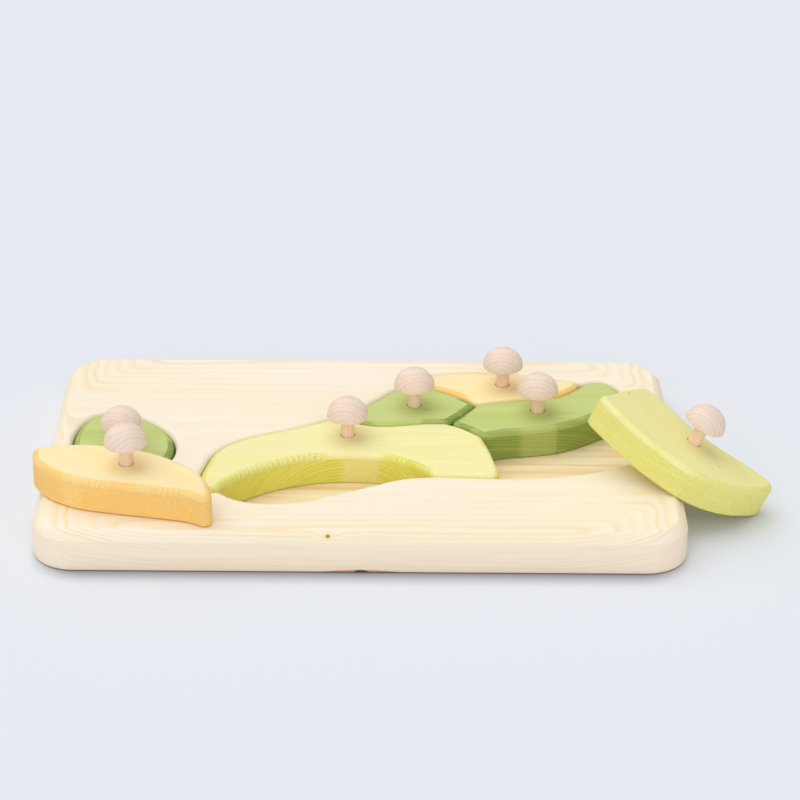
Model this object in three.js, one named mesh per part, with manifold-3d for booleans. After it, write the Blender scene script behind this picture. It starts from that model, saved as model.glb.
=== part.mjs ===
// A wooden knob puzzle: a thick softwood board with a fish-shaped recess and a round recess beside it,
// and seven sawn pieces that lie in them, each lifted by a half-ball knob on a dowel.
// Millimetres, +Z up, +X along the board's length. The origin is the centre of the board's underside.
import * as THREE from 'three';
import Module from 'manifold-3d';
import { mergeVertices } from 'three/addons/utils/BufferGeometryUtils.js';

// The board.
const BOARD_LENGTH = 375;
const BOARD_WIDTH = 234;
const BOARD_THICKNESS = 24.5;
const BOARD_CORNER_RADIUS = 25;
const BOARD_TOP_CHAMFER = 5.5;
const BOARD_UNDERSIDE_ROUND = 1.2;

// The recesses: the wood left under them, the flat land left round them and their softened edge.
const FLOOR_THICKNESS = 5.5;
const LEFT_LAND = 14;
const RIGHT_LAND = 11.5;
const FAR_LAND = 22;
const NEAR_LAND = 39;
const RECESS_EDGE_ROUND = 3.4;

// The pieces: the gap that lets them lift out, how far they stand proud, and their eased edges.
const FIT_GAP = 1.2;
const PIECE_PROUD = 0.5;
const PIECE_TOP_ROUND = 3.2;
const PIECE_BOTTOM_CHAMFER = 1;
const TIP_RADIUS = 1.5;
const FIN_TIP_CORNER = 5;
const TAIL_TIP_CORNER = 9;
const TAIL_HEEL_CORNER = 7;

// The grips: a half-ball knob on a dowel that is glued into both.
const KNOB_DIAMETER = 25;
const KNOB_RIM_ROUND = 0.8;
const DOWEL_DIAMETER = 8;
const DOWEL_END_CHAMFER = 0.5;
const GRIP_HEIGHT = 12.5;
const DOWEL_SEAT_IN_PIECE = 11;
const DOWEL_SEAT_IN_KNOB = 8;
const GLUE_GAP = 0.25;

// Two pieces lie outside their recess: one flat on the board, one leaning over the board's right edge.
const REST_GAP = 0.3;
const FLAT_PIECE_TURN = -39.8;
const FLAT_PIECE_FROM_LEFT = 52.6;
const FLAT_PIECE_FROM_NEAR = 47.4;
const LEANING_PIECE_TURN = -60;
const LEANING_PIECE_FROM_NEAR = 87.3;
const LEANING_REACH = 57;

// How finely curves are divided.
const OUTLINE_STEP = 5.5;
const LEAST_STEP = 0.5;
const CORNER_STEP = 22;
const ROUND_STEPS = 3;
const BOARD_CORNER_STEPS = 8;
const KNOB_SIDES = 28;
const KNOB_ARC_STEPS = 7;
const DOWEL_SIDES = 20;

const recessDepth = BOARD_THICKNESS - FLOOR_THICKNESS;
const pieceThickness = recessDepth + PIECE_PROUD;
const halfGap = FIT_GAP / 2;

// The drawing of the fish, as the points that its lines pass through. Where three lines meet:
const chin = [-82, -63.3];
const crown = [-11, 34.5];
const finRoot = [24, 73.5];
const backPoint = [70, 50];
const neck = [51.5, 24];
const tailRoot = [73, 6];
const vent = [83, -45.6];
const tailHeel = [91, -46];
const finTip = [43.5, -43.8];
const finEnd = [138.5, 80.5];
const tailNotch = [164.5, 47.5];

// The outer lines of the fish.
const browPoints = [
  chin, [-85.6, -65.7], [-90, -65.2], [-92.9, -62.3], [-94, -58], [-94.2, -52], [-93.8, -45], [-91.3, -31],
  [-88.4, -19.5], [-82.9, -10], [-72, 0.5], [-58.5, 8.3], [-40.5, 16.5], [-24, 26], crown,
];
const spinePoints = [crown, [0, 46], [8.5, 56], [17, 66.5], finRoot];
const backFinPoints = [finRoot, [34, 84], [47, 92], [62, 95], [80, 94.5], [100, 91.5], [120, 86], finEnd];
const upperTailPoints = [finEnd, [145, 83.5], [152, 81.5], [158, 72.5], [163, 60.5], tailNotch];
const lowerTailPoints = [
  tailNotch, [171.5, 38.5], [175.5, 22.5], [176, 5], [171.5, -11.5], [162, -23],
  [150, -30.8], [137, -36.8], [124, -41], [104, -44.5], tailHeel,
];
const heelPoints = [tailHeel, vent];
const bellyPoints = [vent, [62, -44.6], finTip];
const bellyFinPoints = [
  finTip, [25.4, -46.4], [10, -53.6], [-9.8, -64.2], [-28.5, -73.6], [-38, -76.7], [-52, -78], [-65, -76],
  [-75, -70.8], chin,
];

// The sawn lines between the pieces.
const neckPoints = [crown, [-4.5, 26], [2, 22], [12.7, 19.8], [25.3, 21.5], [38, 24], neck];
const backSeamPoints = [finRoot, [35, 73.5], [46.5, 69.5], [58, 61.5], backPoint];
const gillPoints = [backPoint, [63, 38.5], [56.5, 29.5], neck];
const cheekPoints = [neck, [60.5, 18.5], [67.5, 12], tailRoot];
const flankPoints = [tailRoot, [76.5, -8], [79.5, -24], vent];
// The lower tail's end is sawn on a slant, so it leaves the head's flank towards its heel.
const tailEndPoints = [
  tailRoot, [76, -6], [78.5, -14.5], [82.5, -23], [86.5, -30.5], [89.2, -38], tailHeel,
];
const finSeamPoints = [backPoint, [84, 54], [98, 57], [111, 58.5], [122, 62.5], [130.5, 71], finEnd];
const tailSeamPoints = [
  tailRoot, [82, 10.5], [100, 14.5], [117, 18.5], [131, 26], [141, 33.5], [150, 40.5], tailNotch,
];
const bellySeamPoints = [
  finTip, [35.5, -35.8], [26.5, -28.6], [15.5, -23], [4, -20.4], [-9, -19.8], [-24, -21.4], [-42, -27],
  [-60, -37.4], [-69.5, -45.4], [-77.5, -54.7], chin,
];

// The bubble in front of the fish is one closed line.
const bubblePoints = [
  [-111.2, -14], [-113, 0], [-119.3, 12.5], [-129.7, 24.1], [-141, 32], [-152, 35], [-162, 31.5],
  [-168.3, 22], [-171.7, 10], [-172.5, -4], [-170, -20], [-161.5, -34.5], [-146, -42], [-127, -38.5], [-115, -28.5],
];

// Where each piece has its knob.
const headGrip = [-8.4, 6];
const backGrip = [31.7, 47.3];
const backFinGrip = [87, 77];
const upperTailGrip = [107.3, 40.7];
const lowerTailGrip = [130.8, 4];
const bellyFinGrip = [-26.2, -42.4];
const bubbleGrip = [-142.5, -8.8];

// The drawing fills the board between its lands.
const drawnPoints = [
  browPoints, spinePoints, backFinPoints, upperTailPoints, lowerTailPoints, bellyPoints, bellyFinPoints,
  bubblePoints,
].flat();
const drawnX = drawnPoints.map(([x]) => x);
const drawnY = drawnPoints.map(([, y]) => y);
const drawnLeft = Math.min(...drawnX);
const drawnNear = Math.min(...drawnY);
const stretchX = (BOARD_LENGTH - LEFT_LAND - RIGHT_LAND) / (Math.max(...drawnX) - drawnLeft);
const stretchY = (BOARD_WIDTH - FAR_LAND - NEAR_LAND) / (Math.max(...drawnY) - drawnNear);

function onBoard([x, y]) {
  return new THREE.Vector2(
    (x - drawnLeft) * stretchX + LEFT_LAND - BOARD_LENGTH / 2,
    (y - drawnNear) * stretchY + NEAR_LAND - BOARD_WIDTH / 2,
  );
}

// A smooth line through drawn points, divided into even steps.
function smoothLine(points, closed = false) {
  const placed = points.map(onBoard).map((point) => new THREE.Vector3(point.x, point.y, 0));
  const curve = new THREE.CatmullRomCurve3(placed, closed, 'centripetal');
  const steps = Math.ceil(curve.getLength() / OUTLINE_STEP);
  return curve.getSpacedPoints(steps).map((point) => new THREE.Vector2(point.x, point.y));
}

const brow = smoothLine(browPoints);
const spine = smoothLine(spinePoints);
const backFinEdge = smoothLine(backFinPoints);
const upperTailEdge = smoothLine(upperTailPoints);
const lowerTailEdge = smoothLine(lowerTailPoints);
const heel = smoothLine(heelPoints);
const belly = smoothLine(bellyPoints);
const bellyFinEdge = smoothLine(bellyFinPoints);
const neckSeam = smoothLine(neckPoints);
const backSeam = smoothLine(backSeamPoints);
const gillSeam = smoothLine(gillPoints);
const cheekSeam = smoothLine(cheekPoints);
const flankSeam = smoothLine(flankPoints);
const tailEnd = smoothLine(tailEndPoints);
const finSeam = smoothLine(finSeamPoints);
const tailSeam = smoothLine(tailSeamPoints);
const bellySeam = smoothLine(bellySeamPoints);

function reversed(line) {
  return [...line].reverse();
}

// The line without its last stretch of the given length.
function trimmedEnd(line, length) {
  const kept = [...line];
  let left = length;
  while (kept.length > 2 && kept.at(-1).distanceTo(kept.at(-2)) <= left) {
    left -= kept.at(-1).distanceTo(kept.at(-2));
    kept.pop();
  }
  const last = kept.pop();
  const previous = kept.at(-1);
  kept.push(last.clone().lerp(previous, left / last.distanceTo(previous)));
  return kept;
}

// The arc that leaves one point towards a corner and reaches another point as it leaves the corner.
function cornerArc(start, corner, end, turn) {
  const steps = Math.max(2, Math.ceil(THREE.MathUtils.radToDeg(turn) / CORNER_STEP));
  const weight = Math.cos(turn / 2);
  return Array.from({ length: steps - 1 }, (_, i) => {
    const t = (i + 1) / steps;
    const [a, b, c] = [(1 - t) ** 2, 2 * t * (1 - t) * weight, t ** 2];
    return start.clone().multiplyScalar(a).addScaledVector(corner, b).addScaledVector(end, c)
      .divideScalar(a + b + c);
  });
}

function anticlockwise(outline) {
  return THREE.ShapeUtils.isClockWise(outline) ? reversed(outline) : outline;
}

// One closed outline from lines that follow each other, with their corners rounded, anticlockwise.
// The corner after a line can have a radius of its own.
function joinedOutline(lines, cornerRadius, ownRadii = []) {
  const corners = lines.map((line, i) => {
    const next = lines[(i + 1) % lines.length];
    const arriving = line.at(-1).clone().sub(line.at(-2));
    const leaving = next[1].clone().sub(next[0]);
    const turn = arriving.angleTo(leaving);
    const radius = ownRadii[i] ?? cornerRadius;
    return { point: line.at(-1), turn, cut: radius * Math.tan(turn / 2) };
  });
  const trimmed = lines.map((line, i) => {
    const before = corners[(i + lines.length - 1) % lines.length];
    const fromStart = reversed(trimmedEnd(reversed(line), before.cut));
    return trimmedEnd(fromStart, corners[i].cut);
  });
  const outline = trimmed.flatMap((line, i) => {
    const next = trimmed[(i + 1) % trimmed.length];
    return [...line, ...cornerArc(line.at(-1), corners[i].point, next[0], corners[i].turn)];
  });
  return anticlockwise(outline.filter((point, i) => point.distanceTo(outline.at(i - 1)) > LEAST_STEP));
}

// An anticlockwise outline moved inwards; a negative distance moves it outwards.
function insetOutline(outline, distance) {
  return outline.map((point, i) => {
    const before = point.clone().sub(outline.at(i - 1)).normalize();
    const after = outline[(i + 1) % outline.length].clone().sub(point).normalize();
    const normalBefore = new THREE.Vector2(-before.y, before.x);
    const normal = new THREE.Vector2(-after.y, after.x).add(normalBefore).normalize();
    return point.clone().addScaledVector(normal, distance / normal.dot(normalBefore));
  });
}

// A closed solid whose outline is inset by a different distance at each height.
function stackedGeometry(outline, levels) {
  const rings = levels.map(({ inset }) => insetOutline(outline, inset));
  const count = outline.length;
  const positions = rings.flatMap((ring, level) => {
    const { z } = levels[level];
    return ring.flatMap((point) => [point.x, point.y, z]);
  });
  const lastRing = (rings.length - 1) * count;
  const bottom = THREE.ShapeUtils.triangulateShape(rings[0], []).map(([a, b, c]) => [c, b, a]);
  const lid = THREE.ShapeUtils.triangulateShape(rings.at(-1), []);
  const top = lid.map((face) => face.map((vertex) => vertex + lastRing));
  const walls = rings.slice(1).flatMap((_, level) => outline.flatMap((__, i) => {
    const here = level * count + i;
    const beside = level * count + (i + 1) % count;
    return [[here, beside, beside + count], [here, beside + count, here + count]];
  }));
  const geometry = new THREE.BufferGeometry();
  geometry.setAttribute('position', new THREE.Float32BufferAttribute(positions, 3));
  geometry.setIndex([...bottom, ...walls, ...top].flat());
  geometry.computeVertexNormals();
  return geometry;
}

// The levels of a rounded edge, from the wall up to the flat top.
function roundedEdge(radius, top) {
  return Array.from({ length: ROUND_STEPS + 1 }, (_, i) => {
    const angle = (i / ROUND_STEPS) * (Math.PI / 2);
    return { inset: radius * (1 - Math.cos(angle)), z: top - radius * (1 - Math.sin(angle)) };
  });
}

const wasm = await Module();
wasm.setup();

function toSolid(geometry) {
  const bare = geometry.clone();
  bare.deleteAttribute('normal');
  bare.deleteAttribute('uv');
  const merged = mergeVertices(bare);
  return new wasm.Manifold(new wasm.Mesh({
    numProp: 3,
    vertProperties: Float32Array.from(merged.attributes.position.array),
    triVerts: Uint32Array.from(merged.index.array),
  }));
}

function toGeometry(solid) {
  const mesh = solid.getMesh();
  const geometry = new THREE.BufferGeometry();
  geometry.setAttribute('position', new THREE.BufferAttribute(mesh.vertProperties, 3));
  geometry.setIndex(new THREE.BufferAttribute(mesh.triVerts, 1));
  geometry.computeVertexNormals();
  return geometry;
}

function turnedGeometry(profile, sides) {
  const geometry = new THREE.LatheGeometry(profile.map(([r, z]) => new THREE.Vector2(r, z)), sides);
  return geometry.rotateX(Math.PI / 2);
}

const softwood = new THREE.MeshStandardMaterial({ color: 0xf3dcb4, roughness: 0.62, metalness: 0 });
const beech = new THREE.MeshStandardMaterial({ color: 0xd9b39a, roughness: 0.6, metalness: 0 });
const limeStain = new THREE.MeshStandardMaterial({ color: 0xd6d96e, roughness: 0.65, metalness: 0 });
const greenStain = new THREE.MeshStandardMaterial({ color: 0x7f9f3f, roughness: 0.65, metalness: 0 });
const yellowStain = new THREE.MeshStandardMaterial({ color: 0xf6cf7c, roughness: 0.65, metalness: 0 });

// The board: one rounded plank, chamfered round the top, with both recesses cut down to its floor.
function boardOutline() {
  const shape = new THREE.Shape();
  const [x, y, r] = [BOARD_LENGTH / 2, BOARD_WIDTH / 2, BOARD_CORNER_RADIUS];
  shape.moveTo(x, -y + r);
  shape.lineTo(x, y - r);
  shape.absarc(x - r, y - r, r, 0, Math.PI / 2);
  shape.lineTo(-x + r, y);
  shape.absarc(-x + r, y - r, r, Math.PI / 2, Math.PI);
  shape.lineTo(-x, -y + r);
  shape.absarc(-x + r, -y + r, r, Math.PI, Math.PI * 1.5);
  shape.lineTo(x - r, -y);
  shape.absarc(x - r, -y + r, r, Math.PI * 1.5, Math.PI * 2);
  return shape.extractPoints(BOARD_CORNER_STEPS).shape.slice(0, -1);
}

// What is cut away for a recess: a straight wall that flares into the softened edge at the top.
function recessCutter(outline) {
  const wall = insetOutline(outline, -halfGap);
  const edge = roundedEdge(RECESS_EDGE_ROUND, BOARD_THICKNESS);
  const flare = edge.map(({ inset, z }) => ({ inset: -inset, z }));
  const floor = { inset: 0, z: FLOOR_THICKNESS };
  const above = { inset: -RECESS_EDGE_ROUND, z: BOARD_THICKNESS + RECESS_EDGE_ROUND };
  return toSolid(stackedGeometry(wall, [floor, ...flare, above]));
}

const pieceCorner = halfGap + PIECE_TOP_ROUND + TIP_RADIUS;
const recessCorner = halfGap + RECESS_EDGE_ROUND + TIP_RADIUS;
const fishRecess = joinedOutline(
  [brow, spine, backFinEdge, upperTailEdge, lowerTailEdge, heel, belly, bellyFinEdge],
  recessCorner,
);
const bubble = anticlockwise(smoothLine(bubblePoints, true).slice(0, -1));

const plank = toSolid(stackedGeometry(boardOutline(), [
  { inset: BOARD_UNDERSIDE_ROUND, z: 0 },
  { inset: 0, z: BOARD_UNDERSIDE_ROUND },
  { inset: 0, z: BOARD_THICKNESS - BOARD_TOP_CHAMFER },
  { inset: BOARD_TOP_CHAMFER, z: BOARD_THICKNESS },
]));
const board = new THREE.Mesh(
  toGeometry(plank.subtract(recessCutter(fishRecess)).subtract(recessCutter(bubble))),
  softwood,
);
board.name = 'board';

// A round hole down from the given height, for a dowel.
function dowelHole(depth, top) {
  const radius = DOWEL_DIAMETER / 2 + GLUE_GAP;
  const geometry = turnedGeometry([[0, -depth], [radius, -depth], [radius, depth], [0, depth]], DOWEL_SIDES);
  return toSolid(geometry.translate(0, 0, top));
}

// A sawn piece, standing on z = 0 with its knob's axis on the origin.
function pieceGeometry(outline, grip) {
  const centred = outline.map((point) => point.clone().sub(grip));
  const solid = toSolid(stackedGeometry(insetOutline(centred, halfGap), [
    { inset: PIECE_BOTTOM_CHAMFER, z: 0 },
    { inset: 0, z: PIECE_BOTTOM_CHAMFER },
    ...roundedEdge(PIECE_TOP_ROUND, pieceThickness),
  ]));
  return toGeometry(solid.subtract(dowelHole(DOWEL_SEAT_IN_PIECE + GLUE_GAP, pieceThickness)));
}

const dowelLength = DOWEL_SEAT_IN_PIECE + GRIP_HEIGHT + DOWEL_SEAT_IN_KNOB;

function dowelGeometry() {
  const radius = DOWEL_DIAMETER / 2;
  return turnedGeometry([
    [0, 0],
    [radius - DOWEL_END_CHAMFER, 0],
    [radius, DOWEL_END_CHAMFER],
    [radius, dowelLength - DOWEL_END_CHAMFER],
    [radius - DOWEL_END_CHAMFER, dowelLength],
    [0, dowelLength],
  ], DOWEL_SIDES);
}

// A half ball with a flat underside and a slightly rounded rim, bored from below.
function knobGeometry() {
  const radius = KNOB_DIAMETER / 2;
  const dome = Array.from({ length: KNOB_ARC_STEPS + 1 }, (_, i) => {
    const start = KNOB_RIM_ROUND / radius;
    const angle = start + (i / KNOB_ARC_STEPS) * (Math.PI / 2 - start);
    return [i === KNOB_ARC_STEPS ? 0 : radius * Math.cos(angle), radius * Math.sin(angle)];
  });
  const halfBall = turnedGeometry([[0, 0], [radius - KNOB_RIM_ROUND, 0], ...dome], KNOB_SIDES);
  return toGeometry(toSolid(halfBall).subtract(dowelHole(DOWEL_SEAT_IN_KNOB + GLUE_GAP, 0)));
}

// A piece with its dowel and knob, each a mesh of its own.
function puzzlePiece(name, outline, drawnGrip, stain) {
  const grip = onBoard(drawnGrip);
  const piece = new THREE.Mesh(pieceGeometry(outline, grip), stain);
  piece.name = `${name}_piece`;
  const dowel = new THREE.Mesh(dowelGeometry(), beech);
  dowel.name = `${name}_dowel`;
  dowel.position.z = pieceThickness - DOWEL_SEAT_IN_PIECE;
  const knob = new THREE.Mesh(knobGeometry(), beech);
  knob.name = `${name}_knob`;
  knob.position.z = pieceThickness + GRIP_HEIGHT;
  const group = new THREE.Group();
  group.add(piece, dowel, knob);
  group.position.set(grip.x, grip.y, FLOOR_THICKNESS);
  return group;
}

const headOutline = joinedOutline([brow, neckSeam, cheekSeam, flankSeam, belly, bellySeam], pieceCorner);
const backOutline = joinedOutline([spine, backSeam, gillSeam, reversed(neckSeam)], pieceCorner);
const backFinOutline = joinedOutline([backFinEdge, reversed(finSeam), reversed(backSeam)], pieceCorner);
const upperTailOutline = joinedOutline(
  [finSeam, upperTailEdge, reversed(tailSeam), reversed(cheekSeam), reversed(gillSeam)],
  pieceCorner,
);
const lowerTailOutline = joinedOutline(
  [tailSeam, lowerTailEdge, reversed(tailEnd)],
  pieceCorner,
  [TAIL_TIP_CORNER, TAIL_HEEL_CORNER],
);
const bellyFinOutline = joinedOutline([reversed(bellySeam), bellyFinEdge], pieceCorner, [FIN_TIP_CORNER]);

const head = puzzlePiece('head', headOutline, headGrip, limeStain);
const back = puzzlePiece('back', backOutline, backGrip, greenStain);
const backFin = puzzlePiece('back_fin', backFinOutline, backFinGrip, yellowStain);
const upperTail = puzzlePiece('upper_tail', upperTailOutline, upperTailGrip, greenStain);
const lowerTail = puzzlePiece('lower_tail', lowerTailOutline, lowerTailGrip, limeStain);
const bellyFin = puzzlePiece('belly_fin', bellyFinOutline, bellyFinGrip, yellowStain);
const bubblePiece = puzzlePiece('bubble', bubble, bubbleGrip, greenStain);

// The belly fin lies flat on the board's near left corner.
bellyFin.rotation.z = THREE.MathUtils.degToRad(FLAT_PIECE_TURN);
bellyFin.position.set(
  FLAT_PIECE_FROM_LEFT - BOARD_LENGTH / 2,
  FLAT_PIECE_FROM_NEAR - BOARD_WIDTH / 2,
  BOARD_THICKNESS + REST_GAP,
);

// The lower tail leans over the right edge of the board with its low end on the table, so its tilt
// follows from the board's thickness and from how far the piece reaches beyond the board's edge.
function leaningPiece(pieceGroup) {
  pieceGroup.rotation.z = THREE.MathUtils.degToRad(LEANING_PIECE_TURN);
  pieceGroup.position.set(0, 0, 0);
  pieceGroup.updateMatrixWorld(true);
  const underside = new THREE.Box3().setFromObject(pieceGroup.children[0], true);
  const lowEnd = underside.max.x - PIECE_BOTTOM_CHAMFER;
  const tilt = Math.asin(BOARD_THICKNESS / LEANING_REACH);
  pieceGroup.position.set(LEANING_REACH - lowEnd, 0, REST_GAP);
  const tilted = new THREE.Group();
  tilted.add(pieceGroup);
  tilted.rotation.y = tilt;
  tilted.position.set(
    BOARD_LENGTH / 2 - BOARD_TOP_CHAMFER,
    LEANING_PIECE_FROM_NEAR - BOARD_WIDTH / 2,
    BOARD_THICKNESS,
  );
  return tilted;
}

const puzzle = new THREE.Group();
puzzle.add(board, head, back, backFin, upperTail, leaningPiece(lowerTail), bellyFin, bubblePiece);

export default puzzle;
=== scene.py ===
# A wooden knob puzzle: a softwood board with a fish-shaped recess, and seven stained pieces with grips.
import math

import bmesh
import bpy
from mathutils import Matrix, Vector


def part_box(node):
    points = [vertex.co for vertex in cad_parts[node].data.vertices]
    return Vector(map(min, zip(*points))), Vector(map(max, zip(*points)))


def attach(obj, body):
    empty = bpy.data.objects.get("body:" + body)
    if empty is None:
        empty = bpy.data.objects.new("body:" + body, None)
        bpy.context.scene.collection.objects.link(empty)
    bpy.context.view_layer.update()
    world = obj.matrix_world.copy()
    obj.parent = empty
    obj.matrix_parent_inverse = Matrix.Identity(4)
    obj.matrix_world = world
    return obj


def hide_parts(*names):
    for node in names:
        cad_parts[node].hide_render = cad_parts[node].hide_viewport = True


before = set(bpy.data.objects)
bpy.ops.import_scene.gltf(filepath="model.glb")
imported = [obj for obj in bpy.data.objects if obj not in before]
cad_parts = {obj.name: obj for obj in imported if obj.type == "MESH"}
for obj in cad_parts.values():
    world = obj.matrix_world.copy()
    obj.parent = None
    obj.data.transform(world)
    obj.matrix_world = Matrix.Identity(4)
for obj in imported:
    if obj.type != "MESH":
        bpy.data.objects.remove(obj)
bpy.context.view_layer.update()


# The board is one flat-sawn softwood plank. Its recesses are routed with a round-over along the edge, its
# outside is chamfered and sanded, and it is left unstained, so the growth rings show as long lines.
# Lengths are in millimetres here and below, and MM turns them into Blender's metres.
MM = 0.001
BOARD_LOW, BOARD_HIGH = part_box("board")
BOARD_LENGTH, BOARD_WIDTH = ((BOARD_HIGH[k] - BOARD_LOW[k]) / MM for k in range(2))
BOARD_TOP = BOARD_HIGH[2] / MM
BOARD_CORNER = 25.0
BOARD_CHAMFER = 5.5
BOARD_ARRIS = 1.0
# Over the chamfer's two edges, the outline steps inwards and up by these shares of the arris.
LOWER_ARRIS = ((0.0, -1.0), (0.12, -0.3), (0.35, 0.3))
UPPER_ARRIS = ((-0.7, -0.72), (-0.15, -0.28), (0.5, 0.0), (1.4, 0.0))
BOARD_FOOT_ROUND = 1.2
RECESS_FLOOR = 5.5
RECESS_ROUND = 3.4
ROUTED_FROM = 0.9
FLAT_MARGIN = 0.5
CORNER_STEPS = 20
ROUND_STEPS = 6
FOOT_STEPS = 4
OUTLINE_STEP = 1.3
# A crease of the solid turns by more than this, in radians, and a crisp edge of the board, in degrees.
CREASE_TURN = 0.3
CRISP_EDGE = 32.0
SAME_POINT = 0.004
SAME_HEIGHT = 0.02
SHARPEST_MITRE = 0.4
# Sanding rounds the board's top in plan with a wide corner, and dips into the rings towards its rim.
RIM_CORNER = 80.0
SANDED_BAND = (-12.0, 26.0)
SANDED_DIP = 11.0
LINED_BAND = 40.0
KNOT_LIFT = 2.4
# The painted shade along the foot's lowest edge fades out between these heights.
FOOT_WEAR = (0.3, 1.2)
BOARD_RELIEF = 0.05
BOARD_RINGS = {"Ring Width": 1.9, "Pith Y": 0.0, "Pith Z": -340.0, "Wander": 4.0}
BOARD_COLOURS = {
    "planed": (253, 241, 221), "planed tone": (252, 238, 211), "planed line": (247, 224, 172),
    "edge": (254, 237, 211), "edge line": (246, 221, 189),
    "floor": (254, 238, 201), "floor band": (243, 210, 152),
    "resin": (252, 232, 178), "knot halo": (246, 218, 142), "knot": (158, 122, 58),
    "bark": (214, 160, 122), "split": (84, 64, 60), "worn foot": (128, 96, 78),
}
KNOT = (-18.0, -114.0, 22.0)
BOARD_SPOTS = {
    "knot bulge": (KNOT, (12.0, 7.0, 7.0)),
    "knot halo": (KNOT, (4.6, 3.6, 3.6)),
    "knot": (KNOT, (1.9, 1.7, 1.7)),
    "resin": ((-59.0, -92.0, 24.5), (20.0, 10.0, 6.0)),
    "bark": ((1.0, -117.2, -0.2), (36.0, 5.0, 3.2)),
    "split": ((1.0, -117.2, 0.6), (8.0, 5.0, 2.6)),
}


def seen(red, green, blue):
    """A colour as a screen shows it, from 0 to 255, as the linear colour that a shader takes."""
    parts = [part / 255 for part in (red, green, blue)]
    return [p / 12.92 if p <= 0.04045 else ((p + 0.055) / 1.055) ** 2.4 for p in parts] + [1.0]


def merged_copy(cad_node, pose=None):
    """The CAD node's triangles joined into one surface, in the frame of a piece that stands in that pose."""
    surface = bmesh.new()
    surface.from_mesh(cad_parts[cad_node].data)
    bmesh.ops.remove_doubles(surface, verts=surface.verts, dist=SAME_POINT * MM)
    if pose is not None:
        surface.transform(pose.inverted())
    surface.normal_update()
    return surface


def signed_area(line):
    """The area inside a closed line, below 0 where it runs clockwise."""
    return sum(a.x * b.y - b.x * a.y for a, b in zip(line, line[1:] + line[:1])) / 2


def creased_lines(surface, height):
    """The closed lines along creases at a height, largest first, anticlockwise, in millimetres."""
    def level(edge):
        return all(abs(v.co.z / MM - height) < SAME_HEIGHT for v in edge.verts)

    beside = {}
    for edge in surface.edges:
        if level(edge) and len(edge.link_faces) == 2 and edge.calc_face_angle() > CREASE_TURN:
            first, second = edge.verts
            beside.setdefault(first, []).append(second)
            beside.setdefault(second, []).append(first)
    lines = []
    left = set(beside)
    while left:
        line = [min(left, key=lambda v: (v.co.x, v.co.y))]
        left.discard(line[0])
        while True:
            onward = [v for v in beside[line[-1]] if v in left]
            if not onward:
                break
            line.append(onward[0])
            left.discard(onward[0])
        points = [v.co.xy / MM for v in line]
        lines.append(points if signed_area(points) > 0 else points[::-1])
    return sorted(lines, key=lambda points: -abs(signed_area(points)))


def smoothed(line, step):
    """A closed line through the same points, curved between them and divided more finely."""
    fine = []
    count = len(line)
    for i in range(count):
        before, start, end, after = (line[(i + k) % count] for k in (-1, 0, 1, 2))
        lead, span, tail = ((q - p).length ** 0.5 for p, q in ((before, start), (start, end), (end, after)))
        leave = (start - before) / lead - (end - before) / (lead + span) + (end - start) / span
        arrive = (end - start) / span - (after - start) / (span + tail) + (after - end) / tail
        parts = max(1, round((end - start).length / step))
        for k in range(parts):
            t = k / parts
            fine.append(
                start * (2 * t**3 - 3 * t**2 + 1) + leave * span * (t**3 - 2 * t**2 + t)
                + end * (3 * t**2 - 2 * t**3) + arrive * span * (t**3 - t**2)
            )
    return fine


def inset(line, distance):
    """An anticlockwise closed line moved inwards, or outwards where the distance is negative."""
    moved = []
    for i, point in enumerate(line):
        before = (point - line[i - 1]).normalized()
        after = (line[(i + 1) % len(line)] - point).normalized()
        normal_before = Vector((-before.y, before.x))
        normal = (normal_before + Vector((-after.y, after.x))).normalized()
        moved.append(point + normal * (distance / max(normal.dot(normal_before), SHARPEST_MITRE)))
    return moved


def add_ring(surface, line, height):
    """A ring of points along a line, at a height."""
    return [surface.verts.new((point.x * MM, point.y * MM, height * MM)) for point in line]


def join_rings(surface, lower, upper):
    """Faces between two rings; they look outwards where the rings run anticlockwise and go up."""
    count = len(lower)
    for i in range(count):
        k = (i + 1) % count
        surface.faces.new((lower[i], lower[k], upper[k], upper[i]))


def fill_between(surface, rings, upwards=True):
    """One flat face field between an outer ring and the rings of its holes."""
    edges = []
    for ring in rings:
        for a, b in zip(ring, ring[1:] + ring[:1]):
            edges.append(surface.edges.get((a, b)) or surface.edges.new((a, b)))
    made = bmesh.ops.triangle_fill(surface, use_beauty=True, edges=edges, normal=(0, 0, 1))
    faces = [part for part in made["geom"] if isinstance(part, bmesh.types.BMFace)]
    for face in faces:
        face.normal_update()
        if (face.normal.z > 0) != upwards:
            face.normal_flip()


def rounded_levels(radius, top, sign=1):
    """Inset and height from an upright wall over a quarter round to a flat top."""
    turns = [k / ROUND_STEPS * math.pi / 2 for k in range(ROUND_STEPS + 1)]
    return [(sign * radius * (1 - math.cos(a)), top - radius * (1 - math.sin(a))) for a in turns]


def finished(surface, name, material):
    """A shown object from a surface, smooth apart from its crisp edges."""
    mesh = bpy.data.meshes.new(name)
    surface.to_mesh(mesh)
    surface.free()
    mesh.shade_smooth()
    mesh.set_sharp_from_angle(angle=math.radians(CRISP_EDGE))
    mesh.materials.append(material)
    piece = bpy.data.objects.new(name, mesh)
    bpy.context.scene.collection.objects.link(piece)
    return piece


def board_outline():
    """A rounded rectangle round the origin, anticlockwise."""
    line = []
    for quarter, (sx, sy) in enumerate(((1, -1), (1, 1), (-1, 1), (-1, -1))):
        centre = Vector((sx * (BOARD_LENGTH / 2 - BOARD_CORNER), sy * (BOARD_WIDTH / 2 - BOARD_CORNER)))
        for k in range(CORNER_STEPS + 1):
            turn = (quarter - 1 + k / CORNER_STEPS) * math.pi / 2
            line.append(centre + BOARD_CORNER * Vector((math.cos(turn), math.sin(turn))))
    return line


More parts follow.
